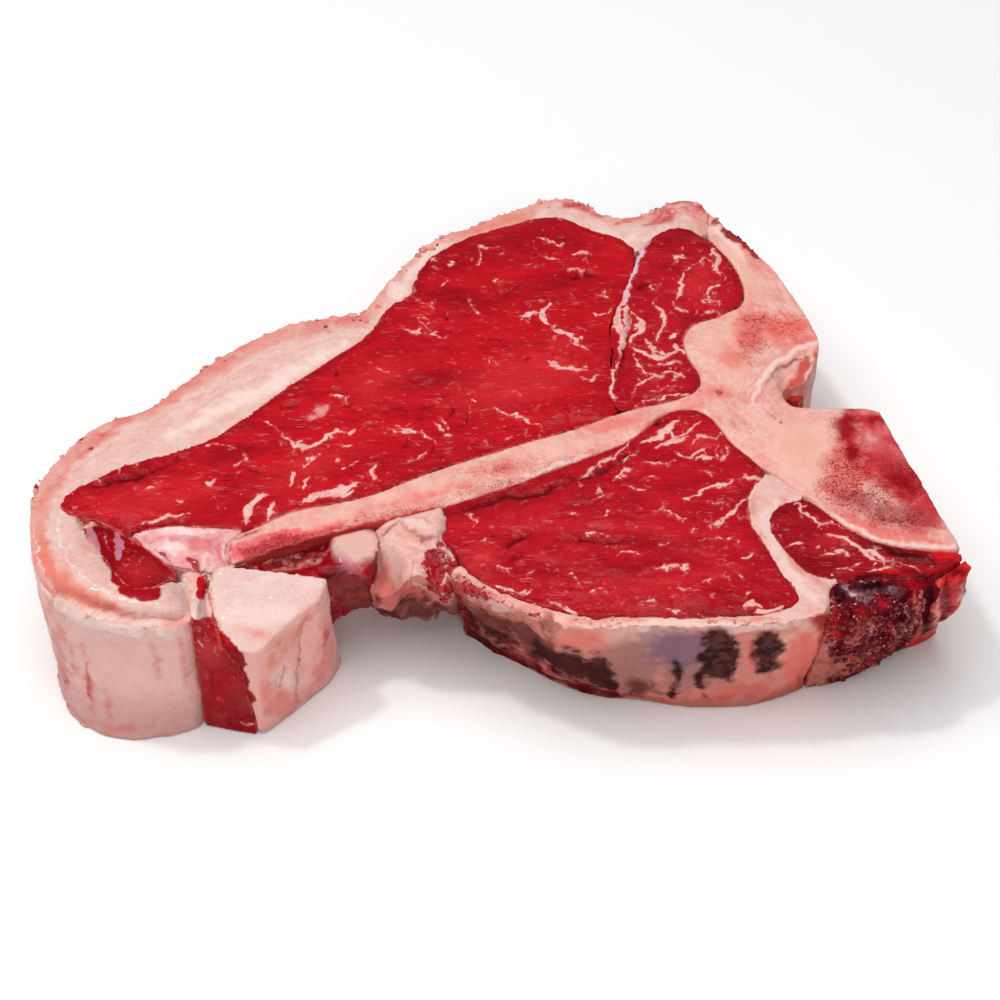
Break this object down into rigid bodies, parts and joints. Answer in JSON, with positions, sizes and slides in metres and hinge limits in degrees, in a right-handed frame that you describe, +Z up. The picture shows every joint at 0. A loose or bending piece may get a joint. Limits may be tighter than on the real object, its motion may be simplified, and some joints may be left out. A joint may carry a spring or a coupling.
{
  "type": "raw t-bone steak",
  "caption": "Thick raw t-bone steak lying flat: T-shaped sawn bone, strip loin, tenderloin, a fat cap and a curled tail with a cut end.",
  "frame": {"origin": "under the middle of the bounding box, on the plane the steak lies on", "axes": "+X from the tail to the backbone, +Y from the tenderloin to the strip loin, +Z up out of the shown cut face"},
  "size_m": [0.2272, 0.169, 0.0413],
  "materials": {
    "lean": "moist cut lean with marbling",
    "dark_lean": "wet darker lean",
    "fat": "firm pink-white fat, softly moist",
    "bone": "sawn porous bone, stained red in places",
    "gristle": "smooth moist cartilage"
  },
  "bodies": {
    "root": {"bone": "bone", "strip_loin": "lean", "multifidus": "lean", "tenderloin": "lean", "side_muscle": "dark_lean", "tail_lean": "dark_lean", "gristle": "gristle", "tail_layer": "lean", "tail_end": "fat", "under_bone_lean": "dark_lean", "kidney_fat": "fat", "corner_flap": "fat", "corner_lean": "dark_lean", "canal_scrap": "dark_lean", "tenderloin_fat": "fat", "fat_cap": "fat"}
  },
  "joints": []
}
